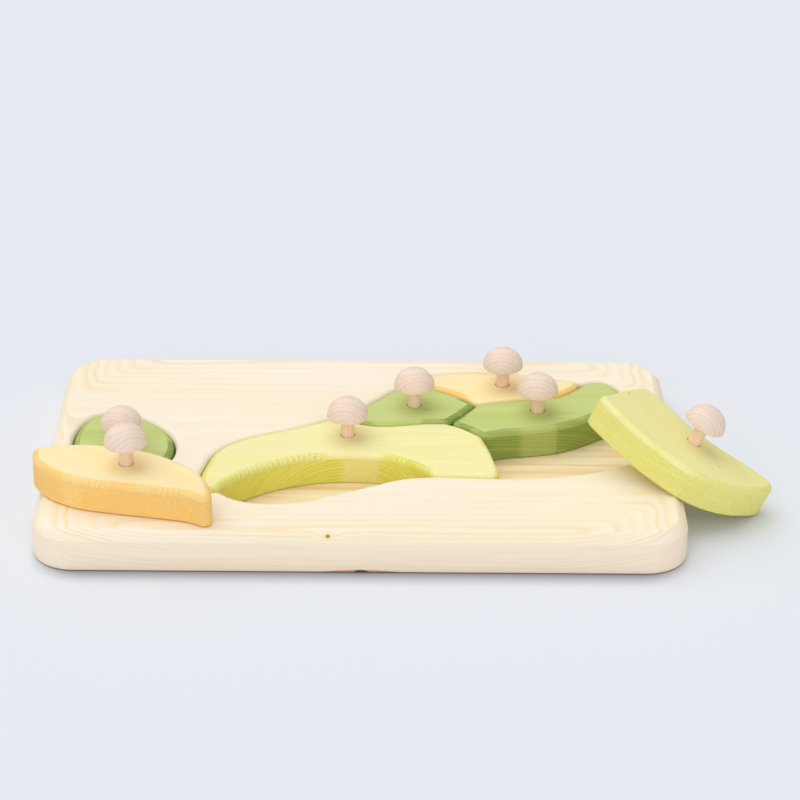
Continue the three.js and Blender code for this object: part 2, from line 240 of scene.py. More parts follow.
def board_levels(shoulder):
    """Inset and height from the board's underside over its foot, its side and its chamfer to the top."""
    foot = BOARD_FOOT_ROUND
    arris = BOARD_ARRIS
    turns = [k / FOOT_STEPS * math.pi / 2 for k in range(FOOT_STEPS + 1)]
    levels = [(foot + FLAT_MARGIN, 0.0)]
    levels += [(foot * (1 - math.sin(a)), foot * (1 - math.cos(a))) for a in turns]
    levels += [(0.0, foot + FLAT_MARGIN)]
    levels += [(arris * step, shoulder + arris * rise) for step, rise in LOWER_ARRIS]
    levels += [(BOARD_CHAMFER + arris * step, BOARD_TOP + arris * rise) for step, rise in UPPER_ARRIS]
    return levels


def recess_levels():
    """Inset and height from a recess's floor up its wall and over its rounded edge to the top."""
    levels = [(FLAT_MARGIN, RECESS_FLOOR), (0.0, RECESS_FLOOR)]
    levels += [(0.0, BOARD_TOP - RECESS_ROUND - FLAT_MARGIN)]
    levels += rounded_levels(RECESS_ROUND, BOARD_TOP, sign=-1)
    levels += [(-RECESS_ROUND - FLAT_MARGIN, BOARD_TOP)]
    return levels


def board_surface():
    """The board from its outline and its recesses' outlines, with what was sawn and routed marked."""
    cad = merged_copy("board")
    recesses = [smoothed(line, OUTLINE_STEP) for line in creased_lines(cad, RECESS_FLOOR)]
    cad.free()
    outline = board_outline()
    shoulder = BOARD_TOP - BOARD_CHAMFER
    levels = board_levels(shoulder)
    wall = recess_levels()
    surface = bmesh.new()
    sided_of = surface.verts.layers.float.new("sided")
    routed_of = surface.verts.layers.float.new("routed")
    rings = [add_ring(surface, inset(outline, step), height) for step, height in levels]
    for ring, (_, height) in zip(rings, levels):
        for vertex in ring:
            vertex[sided_of] = float(height < shoulder)
    for lower, upper in zip(rings, rings[1:]):
        join_rings(surface, lower, upper)
    fill_between(surface, [rings[0]], upwards=False)
    lids = [rings[-1]]
    for recess in recesses:
        inner = [add_ring(surface, inset(recess, step), height) for step, height in wall]
        for ring, (_, height) in zip(inner, wall):
            for vertex in ring:
                vertex[routed_of] = max(0.0, min(1.0, (BOARD_TOP - height) / RECESS_ROUND - ROUTED_FROM))
        for lower, upper in zip(inner, inner[1:]):
            join_rings(surface, upper, lower)
        fill_between(surface, [inner[0]])
        lids.append(inner[-1])
    fill_between(surface, lids)
    return surface


def add_node(tree, kind, inputs=None, **settings):
    """A node with its settings made, and its inputs set to values or joined to outputs."""
    made = tree.nodes.new(kind)
    for key, value in settings.items():
        setattr(made, key, value)
    for key, value in (inputs or {}).items():
        if isinstance(value, bpy.types.NodeSocket):
            tree.links.new(value, made.inputs[key])
        else:
            made.inputs[key].default_value = value
    return made


def math_of(tree, operation, *values):
    """What a Math node makes of outputs or numbers."""
    return add_node(tree, "ShaderNodeMath", dict(enumerate(values)), operation=operation).outputs[0]


def product(tree, first, second):
    """One output or number times another."""
    return math_of(tree, "MULTIPLY", first, second)


def difference(tree, first, second):
    """One output or number less another."""
    return math_of(tree, "SUBTRACT", first, second)


def total(tree, *values):
    """The sum of several outputs or numbers."""
    result = values[0]
    for value in values[1:]:
        result = math_of(tree, "ADD", result, value)
    return result


def mixed(tree, share, first, second, blend="MIX"):
    """One colour over another, by a share from 0 to 1."""
    sockets = {0: share, 6: first, 7: second}
    return add_node(tree, "ShaderNodeMix", sockets, data_type="RGBA", blend_type=blend).outputs[2]


def shaded(tree, colour, grey):
    """A colour made a little lighter or darker, by a grey level near 1."""
    level = add_node(tree, "ShaderNodeCombineColor", {0: grey, 1: grey, 2: grey}).outputs[0]
    return mixed(tree, 1.0, colour, level, blend="MULTIPLY")


def ramp(tree, value, low, high, to_low=0.0, to_high=1.0):
    """The value spread smoothly from one range to another, and kept inside it."""
    sockets = {"Value": value, "From Min": low, "From Max": high, "To Min": to_low, "To Max": to_high}
    return add_node(tree, "ShaderNodeMapRange", sockets, interpolation_type="SMOOTHSTEP").outputs[0]


def noise(tree, place, detail=2.0, rough=0.5):
    """A cloudy value from about 0 to 1, with one cloud for each unit of the place."""
    sockets = {"Vector": place, "Scale": 1.0, "Detail": detail, "Roughness": rough}
    return add_node(tree, "ShaderNodeTexNoise", sockets, noise_dimensions="3D").outputs[0]


def stretched(tree, place, x, y, z):
    """A place scaled along each axis, so that a pattern on it is fine where the number is large."""
    return add_node(tree, "ShaderNodeVectorMath", {0: place, 1: (x, y, z)}, operation="MULTIPLY").outputs[0]


def new_group(name, inputs, outputs):
    """An empty shader group; returns it with what it is given inside, and the sockets of its result."""
    group = bpy.data.node_groups.new(name, "ShaderNodeTree")
    for socket, kind, value in inputs:
        made = group.interface.new_socket(name=socket, in_out="INPUT", socket_type=kind)
        made.default_value = value
    for socket, kind in outputs:
        group.interface.new_socket(name=socket, in_out="OUTPUT", socket_type=kind)
    return group, group.nodes.new("NodeGroupInput").outputs, group.nodes.new("NodeGroupOutput").inputs


def growth_rings():
    """Growth rings round a pith that runs along X, in millimetres, with the fibres along it."""
    scalar, vector = "NodeSocketFloat", "NodeSocketVector"
    group, given, result = new_group(
        "growth_rings",
        [("Grain", vector, (0, 0, 0)), ("Ring Width", scalar, 2.0), ("Pith Y", scalar, 0.0),
         ("Pith Z", scalar, -70.0), ("Wander", scalar, 2.0)],
        [("Late Wood", scalar), ("Fibre", scalar), ("Tone", scalar)],
    )
    grain = add_node(group, "ShaderNodeVectorMath", {0: given["Grain"], 3: 1 / MM}, operation="SCALE")
    place = grain.outputs[0]
    axes = add_node(group, "ShaderNodeSeparateXYZ", {0: place}).outputs
    across = difference(group, axes[1], given["Pith Y"])
    above = difference(group, axes[2], given["Pith Z"])
    squares = total(group, math_of(group, "POWER", across, 2.0), math_of(group, "POWER", above, 2.0))
    sway = difference(group, noise(group, stretched(group, place, 0.006, 0.022, 0.022)), 0.5)
    wander = product(group, sway, given["Wander"])
    radius = total(group, math_of(group, "SQRT", squares), wander)
    years = math_of(group, "DIVIDE", radius, given["Ring Width"])
    year_line = add_node(group, "ShaderNodeCombineXYZ", {0: product(group, years, 0.37)}).outputs[0]
    uneven = total(group, years, product(group, noise(group, year_line), 1.6))
    part = math_of(group, "FRACT", uneven)
    darkening = ramp(group, part, 0.25, 0.9)
    ending = ramp(group, part, 0.92, 1.0, 1.0, 0.0)
    year = math_of(group, "FLOOR", uneven)
    chance = add_node(group, "ShaderNodeTexWhiteNoise", {"W": year}, noise_dimensions="1D").outputs[0]
    strength = ramp(group, chance, 0.0, 1.0, 0.3, 1.0)
    late = product(group, product(group, darkening, ending), strength)
    group.links.new(late, result["Late Wood"])
    fibre = noise(group, stretched(group, place, 0.016, 0.75, 0.75), detail=4.0, rough=0.62)
    group.links.new(fibre, result["Fibre"])
    tone = noise(group, stretched(group, place, 0.005, 0.03, 0.03), detail=1.0)
    group.links.new(tone, result["Tone"])
    return group


RINGS = growth_rings()


def grown(tree, grain, settings):
    """The growth rings at a place in the grain: their late wood, their fibres and their tone."""
    made = add_node(tree, "ShaderNodeGroup", {"Grain": grain, **settings}, node_tree=RINGS)
    return [made.outputs[name] for name in ("Late Wood", "Fibre", "Tone")]


def new_material(name, roughness):
    """A material with its main shader, whose plain gloss is set on the shader itself."""
    material = bpy.data.materials.new(name)
    material.use_nodes = True
    shader = material.node_tree.nodes["Principled BSDF"]
    shader.inputs["Roughness"].default_value = roughness
    shader.inputs["Specular IOR Level"].default_value = 0.35
    return material, material.node_tree, shader


def add_relief(tree, shader, height, depth):
    """A fine relief of that depth from a height between 0 and 1."""
    bump = add_node(tree, "ShaderNodeBump", {"Height": height, "Distance": depth * MM, "Strength": 1.0})
    tree.links.new(bump.outputs[0], shader.inputs["Normal"])


def near_point(tree, place, point, reach):
    """1 at a point, given in millimetres, fading to 0 over the reach in each direction."""
    centre = [v * MM for v in point]
    moved = add_node(tree, "ShaderNodeVectorMath", {0: place, 1: centre}, operation="SUBTRACT").outputs[0]
    scaled = stretched(tree, moved, *[1 / (v * MM) for v in reach])
    length = add_node(tree, "ShaderNodeVectorMath", {0: scaled}, operation="LENGTH").outputs["Value"]
    return ramp(tree, length, 0.0, 1.0, 1.0, 0.0)


def plan_distance():
    """How far a place lies outside a rounded rectangle in plan, in metres; below 0 inside it."""
    scalar = "NodeSocketFloat"
    group, given, result = new_group(
        "plan_distance",
        [("Place", "NodeSocketVector", (0, 0, 0)), ("Length", scalar, 0.4), ("Width", scalar, 0.2),
         ("Radius", scalar, 0.02)],
        [("Distance", scalar)],
    )
    axes = add_node(group, "ShaderNodeSeparateXYZ", {0: given["Place"]}).outputs
    past = []
    for axis, size in ((axes[0], "Length"), (axes[1], "Width")):
        half = product(group, given[size], 0.5)
        core = difference(group, half, given["Radius"])
        past.append(difference(group, math_of(group, "ABSOLUTE", axis), core))
    beyond = {k: math_of(group, "MAXIMUM", value, 0.0) for k, value in enumerate(past)}
    corner = add_node(group, "ShaderNodeCombineXYZ", beyond).outputs[0]
    length = add_node(group, "ShaderNodeVectorMath", {0: corner}, operation="LENGTH").outputs["Value"]
    inside = math_of(group, "MINIMUM", math_of(group, "MAXIMUM", *past), 0.0)
    distance = difference(group, total(group, length, inside), given["Radius"])
    group.links.new(distance, result["Distance"])
    return group


PLAN_DISTANCE = plan_distance()


def from_board_edge(tree, place, radius):
    """The plan distance from the board's outline, drawn with its own corner radius."""
    sockets = {"Place": place, "Length": BOARD_LENGTH * MM, "Width": BOARD_WIDTH * MM, "Radius": radius * MM}
    return add_node(tree, "ShaderNodeGroup", sockets, node_tree=PLAN_DISTANCE).outputs["Distance"]


def board_material():
    """Planed softwood with its sawn edges and routed floors, a small knot, resin, bark on its foot, and a
    painted shade along the foot.
    """
    material, tree, shader = new_material("board_softwood", roughness=0.56)
    hue = {part: seen(*colour) for part, colour in BOARD_COLOURS.items()}
    place = add_node(tree, "ShaderNodeTexCoord").outputs["Object"]
    spot = {part: near_point(tree, place, *where) for part, where in BOARD_SPOTS.items()}
    sided = add_node(tree, "ShaderNodeAttribute", attribute_name="sided").outputs["Fac"]
    routed = add_node(tree, "ShaderNodeAttribute", attribute_name="routed").outputs["Fac"]
    # The sanded rim and the knot shift the grain, so the rings curve round both.
    rim = from_board_edge(tree, place, RIM_CORNER)
    sanded = ramp(tree, rim, SANDED_BAND[0] * MM, SANDED_BAND[1] * MM, 0.0, -SANDED_DIP * MM)
    bulge = total(tree, product(tree, spot["knot bulge"], KNOT_LIFT * MM), sanded)
    lift = add_node(tree, "ShaderNodeCombineXYZ", {2: bulge}).outputs[0]
    grain = add_node(tree, "ShaderNodeVectorMath", {0: place, 1: lift}, operation="ADD").outputs[0]
    late, fibre, tone = grown(tree, grain, BOARD_RINGS)
    pale = mixed(tree, ramp(tree, tone, 0.35, 0.65), hue["planed"], hue["planed tone"])
    shown = product(tree, late, ramp(tree, rim, -LINED_BAND * MM, 0.0, 0.22, 0.85))
    planed = mixed(tree, shown, pale, hue["planed line"])
    edge = mixed(tree, product(tree, late, 0.4), hue["edge"], hue["edge line"])
    bands = noise(tree, stretched(tree, place, 7.0, 130.0, 40.0))
    floor = mixed(tree, ramp(tree, bands, 0.42, 0.7), hue["floor"], hue["floor band"])
    cut = mixed(tree, routed, mixed(tree, sided, planed, edge), floor)
    # The wood's own spots come next, and then a painted shade along the foot.
    resinous = mixed(tree, product(tree, spot["resin"], 0.45), cut, hue["resin"])
    haloed = mixed(tree, product(tree, spot["knot halo"], 0.6), resinous, hue["knot halo"])
    knotted = mixed(tree, ramp(tree, spot["knot"], 0.1, 0.5, 0.0, 0.9), haloed, hue["knot"])
    barked = mixed(tree, ramp(tree, spot["bark"], 0.12, 0.4), knotted, hue["bark"])
    ragged = noise(tree, stretched(tree, place, 160.0, 300.0, 900.0), detail=3.0)
    split = product(tree, spot["split"], ragged)
    barked = mixed(tree, ramp(tree, split, 0.16, 0.32), barked, hue["split"])
    # Painted shade: the sides are painted darker brown towards the floor, where the board meets it.
    height = add_node(tree, "ShaderNodeSeparateXYZ", {0: place}).outputs[2]
    wear = product(tree, ramp(tree, height, FOOT_WEAR[0] * MM, FOOT_WEAR[1] * MM, 1.0, 0.0), sided)
    worn = mixed(tree, product(tree, wear, 0.8), barked, hue["worn foot"])
    coloured = shaded(tree, worn, ramp(tree, fibre, 0.25, 0.75, 0.97, 1.02))
    tree.links.new(coloured, shader.inputs["Base Color"])
    add_relief(tree, shader, total(tree, product(tree, late, 0.5), fibre), BOARD_RELIEF)
    return material


board = finished(board_surface(), "puzzle_board", board_material())
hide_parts("board")
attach(board, "board")


# The seven pieces are sawn from one softwood plank, rounded over along the top by a cutter that chatters,
# and stained thinly, so the sawn sides, which drink more of the stain, come out darker than the tops.
PIECE_THICKNESS = 19.5
PIECE_ROUND = 3.2
PIECE_FOOT_CHAMFER = 1.0
DOWEL_MIDDLE = 24.25
DOWEL_HOLE = 8.5
DOWEL_HOLE_DEPTH = 11.25
HOLE_SIDES = 32
HOLE_CHIP = 0.7
# The stain changes over these widths, from a side to its edge and from the edge to the top.
SIDE_FADE = 0.2
TOP_FADE = 0.7
# The tools' marks, and the painted shade and painted highlight among the marks, fade out over the last third
# of their reach.
MARKS = ("chatter", "bare", "burnish", "deep")
MARK_FADE = 1 / 3
# How strongly the edges facing backwards, towards the light from behind, are painted paler: a painted
# highlight.
BACK_SANDING = 1.6
CHATTER_PITCH = 3.3
STAIN_RELIEF = 0.12
PIECE_RINGS = {"Ring Width": 1.35, "Pith Y": -30.0, "Pith Z": -46.0, "Wander": 5.0}
PORE_BROWN = (84, 62, 30)
# The brown of the painted shade in the dowel hole's lip and bore, round the dowel.
CHIP_BROWN = (96, 70, 44)
FLAT_TURN = -39.8
LEANING_TURN = -60.0
LEANING_REACH = 57.0
LEANING_TILT = math.degrees(math.asin(BOARD_TOP / LEANING_REACH))


def standing_pose(name, turn=0.0, tilt=0.0):
    """Where a piece stands: its turn about its own grip, its tilt, and the foot of the grip's axis."""
    low, high = (Vector(corner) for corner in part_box(f"{name}_dowel"))
    leaning = Matrix.Rotation(math.radians(tilt), 4, "Y")
    foot = (low + high) / 2 - leaning @ Vector((0, 0, DOWEL_MIDDLE * MM))
    return Matrix.Translation(foot) @ leaning @ Matrix.Rotation(math.radians(turn), 4, "Z")


POSES = {
    "head": standing_pose("head"),
    "back": standing_pose("back"),
    "back_fin": standing_pose("back_fin"),
    "upper_tail": standing_pose("upper_tail"),
    "lower_tail": standing_pose("lower_tail", LEANING_TURN, LEANING_TILT),
    "belly_fin": standing_pose("belly_fin", FLAT_TURN),
    "bubble": standing_pose("bubble"),
}


def piece_levels():
    """Inset, height, and 1 for a side or for an edge, from a piece's underside to its top."""
    foot = PIECE_FOOT_CHAMFER
    wall_top = PIECE_THICKNESS - PIECE_ROUND
    levels = [(foot + FLAT_MARGIN, 0.0, 1, 0), (foot, 0.0, 1, 0), (0.0, foot, 1, 0)]
    levels += [(0.0, foot + FLAT_MARGIN, 1, 0), (0.0, wall_top - SIDE_FADE, 1, 0)]
    levels += [(step, height, 0, 1) for step, height in rounded_levels(PIECE_ROUND, PIECE_THICKNESS)]
    levels += [(PIECE_ROUND + TOP_FADE, PIECE_THICKNESS, 0, 0)]
    return levels


def bored(surface, rim):
    """The dowel hole inside the rim of a piece's top, with a narrow lip; returns the hole's own points."""
    turns = [2 * math.pi * k / HOLE_SIDES for k in range(HOLE_SIDES)]
    circle = [Vector((math.cos(a), math.sin(a))) * DOWEL_HOLE / 2 for a in turns]
    lip = add_ring(surface, inset(circle, -HOLE_CHIP), PIECE_THICKNESS)
    mouth = add_ring(surface, circle, PIECE_THICKNESS)
    end = add_ring(surface, circle, PIECE_THICKNESS - DOWEL_HOLE_DEPTH)
    join_rings(surface, lip, mouth)
    join_rings(surface, mouth, end)
    fill_between(surface, [end])
    fill_between(surface, [rim, lip])
    return mouth + end


def mark_share(point, places):
    """How strongly a mark shows at a point, from 0 to 1, by how near its places are."""
    near = [1 - (point - Vector((x, y))).length / reach for x, y, reach in places]
    return min(1.0, max([0.0, *near]) / MARK_FADE)


def piece_surface(name, plank_place, soak, marks):
    """A sawn piece with what its stain needs: its place in the plank, its sides, edges and dowel hole, how
    far the stain soaked into the sides, and where the cutter chattered, the edge is paler, the saw burnished
    the side, or a painted shade darkens the edge. The edges that look backwards, towards the light from
    behind, are painted paler too: a painted highlight."""
    pose = POSES[name]
    cad = merged_copy(f"{name}_piece", pose)
    outline = smoothed(creased_lines(cad, PIECE_FOOT_CHAMFER)[0], OUTLINE_STEP)
    cad.free()
    lengths = [(b - a).length for a, b in zip(outline, outline[1:] + outline[:1])]
    along = [sum(lengths[:k]) for k in range(len(lengths) + 1)]
    levels = piece_levels()
    surface = bmesh.new()
    side_of = surface.verts.layers.float.new("side")
    edge_of = surface.verts.layers.float.new("edge")
    soak_of = surface.verts.layers.float.new("soak")
    hole_of = surface.verts.layers.float.new("hole")
    mark_of = {mark: surface.verts.layers.float.new(mark) for mark in MARKS}
    plank_of = surface.verts.layers.float_vector.new("plank")
    run_of = surface.loops.layers.uv.new("run")
    # The edges facing backwards, towards the light from behind, are painted paler: a painted highlight.
    backwards = [(pose.to_3x3() @ (point - inner).normalized().to_3d()).y
                 for point, inner in zip(outline, inset(outline, 1.0))]
    rings = []
    for step, height, side, edge in levels:
        ring = add_ring(surface, inset(outline, step), height)
        for vertex, back in zip(ring, backwards):
            vertex[side_of] = side
            vertex[edge_of] = edge
            vertex[mark_of["bare"]] = max(0.0, min(1.0, back * BACK_SANDING))
        rings.append(ring)
    for level, (lower, upper) in enumerate(zip(rings, rings[1:])):
        join_rings(surface, lower, upper)
        surface.faces.ensure_lookup_table()
        for i, face in enumerate(surface.faces[-len(lower):]):
            for loop, (place, up) in zip(face.loops, ((i, 0), (i + 1, 0), (i + 1, 1), (i, 1))):
                loop[run_of].uv = (along[place] * MM, levels[level + up][1] * MM)
    fill_between(surface, [rings[0]], upwards=False)
    hole = bored(surface, rings[-1])
    for vertex in surface.verts:
        vertex[plank_of] = vertex.co + Vector(plank_place) * MM
        vertex[soak_of] = soak
        for mark, places in marks.items():
            vertex[mark_of[mark]] = max(vertex[mark_of[mark]], mark_share(vertex.co.xy / MM, places))
    for vertex in hole:
        vertex[hole_of] = 1
    surface.transform(pose)
    return surface


def stained_softwood():
    """The look of a thin stain on softwood, from the colours of the tops, the sides and the rings."""
    colour, scalar, vector = "NodeSocketColor", "NodeSocketFloat", "NodeSocketVector"
    white = (1.0, 1.0, 1.0, 1.0)
    group, given, result = new_group(
        "stained_softwood",
        [("Plank", vector, (0, 0, 0)), ("Run", vector, (0, 0, 0)), ("Side", scalar, 0.0),
         ("Edge", scalar, 0.0), ("Soak", scalar, 1.0), ("Hole", scalar, 0.0),
         *((mark.title(), scalar, 0.0) for mark in MARKS),
         ("Top", colour, white), ("Top Streak", colour, white), ("Sawn", colour, white),
         ("Sawn Line", colour, white), ("Chatter Mark", colour, white),
         ("Line Strength", scalar, 0.7), ("Bruise", scalar, 0.6)],
        [("Colour", colour), ("Height", scalar)],
    )
    plank, run, side, edge = (given[name] for name in ("Plank", "Run", "Side", "Edge"))
    late, fibre, tone = grown(group, plank, PIECE_RINGS)
    # The top takes little stain and is streaked, and the sawn side takes most and shows the rings as lines.
    patches = noise(group, stretched(group, plank, 9.0, 60.0, 60.0))
    streak = total(group, product(group, late, 0.15), ramp(group, patches, 0.4, 0.75, 0.0, 0.7))
    top = mixed(group, streak, given["Top"], given["Top Streak"])
    lines = product(group, late, given["Line Strength"])
    burnished = mixed(group, product(group, given["Burnish"], 0.42), given["Sawn"], given["Chatter Mark"])
    soaked = mixed(group, lines, burnished, given["Sawn Line"])
    # Where the painted shade falls, the side's darker colour is painted in.
    sawn = mixed(group, math_of(group, "MAXIMUM", given["Soak"], given["Deep"]), top, soaked)
    kept = product(group, difference(group, 1.0, given["Soak"]), 0.5)
    top = mixed(group, kept, top, given["Sawn"])
    # The rounded edge is bruised, so it drinks like a side, except where it is paler or the cutter chattered.
    # The paler edges that face backwards are a painted highlight, and the painted shade darkens the edge like
    # a side.
    along = add_node(group, "ShaderNodeSeparateXYZ", {0: run}).outputs[0]
    shift = product(group, noise(group, stretched(group, run, 120.0, 120.0, 0.0)), 7.0)
    turns = total(group, product(group, along, 2 * math.pi / (CHATTER_PITCH * MM)), shift)
    bars = ramp(group, math_of(group, "SINE", turns), -0.3, 0.8)
    chatter = product(group, bars, given["Chatter"])
    worn = noise(group, stretched(group, run, 45.0, 160.0, 0.0))
    bruise = product(group, ramp(group, worn, 0.35, 0.6, 0.75, 1.0), given["Bruise"])
    bruise = product(group, bruise, ramp(group, given["Bare"], 0.0, 1.0, 1.0, 0.1))
    bruised = mixed(group, math_of(group, "MAXIMUM", bruise, given["Deep"]), top, sawn)
    rounded = mixed(group, product(group, chatter, 0.65), bruised, given["Chatter Mark"])
    body = mixed(group, side, mixed(group, edge, top, rounded), sawn)
    # Open pores are brown, the dowel hole's lip and bore get a painted shade in brown patches, and the fibres
    # and the saw shade it all.
    cells = add_node(group, "ShaderNodeTexVoronoi", {"Vector": plank, "Scale": 44.0}, voronoi_dimensions="3D")
    chance = add_node(group, "ShaderNodeSeparateColor", {0: cells.outputs["Color"]}).outputs[0]
    pore = ramp(group, cells.outputs["Distance"], 0.016, 0.034, 1.0, 0.0)
    pores = product(group, pore, math_of(group, "GREATER_THAN", chance, 0.6))
    spotted = mixed(group, product(group, pores, 0.75), body, seen(*PORE_BROWN))
    chips = ramp(group, noise(group, stretched(group, plank, 170.0, 170.0, 170.0)), 0.4, 0.6, 0.3, 0.9)
    chipped = mixed(group, product(group, given["Hole"], chips), spotted, seen(*CHIP_BROWN))
    fibres = total(group, fibre, product(group, tone, 0.4))
    rough = ramp(group, noise(group, stretched(group, plank, 500.0, 900.0, 900.0)), 0.3, 0.7, -0.03, 0.03)
    saw = product(group, rough, math_of(group, "MAXIMUM", side, edge))
    grey = total(group, ramp(group, fibres, 0.4, 1.0, 0.96, 1.03), saw)
    group.links.new(shaded(group, chipped, grey), result["Colour"])
    ridges = product(group, product(group, chatter, edge), 0.8)
    group.links.new(total(group, fibre, ridges), result["Height"])
    return group


STAINED = stained_softwood()


def stain_material(name, top, top_streak, sawn, sawn_line, chatter_mark, line_strength, bruise):
    """Softwood in one stain, which reads its marks from the piece."""
    material, tree, shader = new_material(name, roughness=0.6)
    sources = {
        "Plank": add_node(tree, "ShaderNodeAttribute", attribute_name="plank").outputs["Vector"],
        "Run": add_node(tree, "ShaderNodeUVMap", uv_map="run").outputs[0],
        **{layer.title(): add_node(tree, "ShaderNodeAttribute", attribute_name=layer).outputs["Fac"]
           for layer in ("side", "edge", "soak", "hole", *MARKS)},
        "Top": seen(*top), "Top Streak": seen(*top_streak), "Sawn": seen(*sawn),
        "Sawn Line": seen(*sawn_line), "Chatter Mark": seen(*chatter_mark), "Line Strength": line_strength,
        "Bruise": bruise,
    }
    stain = add_node(tree, "ShaderNodeGroup", sources, node_tree=STAINED)
    tree.links.new(stain.outputs["Colour"], shader.inputs["Base Color"])
    add_relief(tree, shader, stain.outputs["Height"], STAIN_RELIEF)
    return material


LIME = stain_material(
    "lime_stain", top=(247, 239, 174), top_streak=(242, 232, 152), sawn=(222, 219, 90),
    sawn_line=(243, 235, 142), chatter_mark=(246, 238, 186), line_strength=0.8, bruise=0.9,
)
GREEN = stain_material(
    "green_stain", top=(203, 214, 131), top_streak=(187, 201, 111), sawn=(134, 158, 72),
    sawn_line=(192, 201, 114), chatter_mark=(200, 212, 130), line_strength=0.8, bruise=0.7,
)
YELLOW = stain_material(
    "yellow_stain", top=(254, 235, 180), top_streak=(254, 226, 154), sawn=(252, 205, 118),
    sawn_line=(248, 192, 100), chatter_mark=(254, 221, 150), line_strength=0.4, bruise=0.95,
)

# For each piece: its stain, its slot, its place in the plank, how far the stain soaked in, and its marks.
# A mark is at x and y in the piece's own frame and has a reach, all in millimetres.
# The marks that darken a rim to the side's colour are a painted shade, on rims that lie in shade.
for piece_name, stain, stain_slot, plank_place, soak, marks in (
    ("head", LIME, "lime_wood", (0, -80, 0), 1.0, {
        "chatter": [(-42, -37, 36)], "bare": [(4, -26, 20), (62, -47, 14), (76, -48, 14), (88, -28, 20)],
        "burnish": [(8, -25, 13)], "deep": [(36, -34, 16)],
    }),
    ("back", GREEN, "green_wood", (190, 12, 0), 1.0, {
        "bare": [(-16, -20, 12), (-4, -21, 10)], "deep": [(21, -14, 10), (27, -2, 11), (32, 5, 8)],
    }),
    ("back_fin", YELLOW, "yellow_wood", (310, -16, 0), 1.0, {"bare": [(-2, -17, 24)]}),
    ("upper_tail", GREEN, "green_wood", (420, 22, 0), 1.0, {
        "burnish": [(-1, -22, 13), (9, -21, 2)], "deep": [(-50, -11, 8), (-43, -19, 8)],
    }),
    ("lower_tail", LIME, "lime_wood", (560, -9, 0), 0.66, {
        "bare": [(-32, -40, 18), (-6, -32, 22), (20, -25, 16)],
    }),
    ("belly_fin", YELLOW, "yellow_wood", (700, 30, 0), 1.0, {
        "chatter": [(2.6, -26.5, 10), (36, -9, 18)], "burnish": [(-12, -30, 8), (9, -20, 2)],
    }),
    ("bubble", GREEN, "green_wood", (850, 5, 0), 1.0, {"deep": [(26, -5, 14)]}),
):
    sawn = piece_surface(piece_name, plank_place, soak, marks)
    sawn_piece = finished(sawn, f"{piece_name}_sawn", stain)
    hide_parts(f"{piece_name}_piece")
    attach(sawn_piece, piece_name)


# The dowels are plain beech rod, cut to length with eased ends and glued into a hole in each piece.
# One Geometry Nodes tree turns the rod's outline round its axis and stands it in its piece.
DOWEL_DIAMETER = 8.0
DOWEL_LENGTH = 31.5
DOWEL_EASE = 0.5
DOWEL_SIDES = 40
DOWEL_SPIN = 0.9
STAGES = 5
STAGE_STEPS = 6
SEAM_GAP = 0.002
CRISP_TURNED_EDGE = 38.0
BEECH_RELIEF = 0.05
BEECH_RINGS = {"Ring Width": 1.9, "Wander": 2.0}


def turning_tree(name, sizes):
    """A tree whose grid has a side for the turn and a side for five stages of the outline."""
    tree = bpy.data.node_groups.new(name, "GeometryNodeTree")
    tree.interface.new_socket(name="Geometry", in_out="OUTPUT", socket_type="NodeSocketGeometry")
    for socket, kind, value in (
        *((size, "NodeSocketFloat", value) for size, value in sizes.items()),
        ("Sides", "NodeSocketInt", 48), ("Foot", "NodeSocketVector", (0, 0, 0)),
        ("Tilt", "NodeSocketFloat", 0.0), ("Spin", "NodeSocketFloat", 0.0),
    ):
        tree.interface.new_socket(name=socket, in_out="INPUT", socket_type=kind).default_value = value
    tree.interface.new_socket(name="Material", in_out="INPUT", socket_type="NodeSocketMaterial")
    given = tree.nodes.new("NodeGroupInput").outputs
    around = total(tree, given["Sides"], 1.0)
    rows = STAGES * STAGE_STEPS + 1
    sockets = {"Size X": 1.0, "Size Y": 1.0, "Vertices X": around, "Vertices Y": rows}
    grid = add_node(tree, "GeometryNodeMeshGrid", sockets).outputs["Mesh"]
    position = add_node(tree, "GeometryNodeInputPosition").outputs[0]
    spot = add_node(tree, "ShaderNodeSeparateXYZ", {0: position}).outputs
    turn = product(tree, total(tree, spot[0], 0.5), 2 * math.pi)
    way = product(tree, total(tree, spot[1], 0.5), float(STAGES))
    stages = []
    for k in range(STAGES):
        stage = {"Value": way, "From Min": float(k), "From Max": float(k + 1)}
        stages.append(add_node(tree, "ShaderNodeMapRange", stage, interpolation_type="LINEAR").outputs[0])
    return tree, given, grid, turn, stages


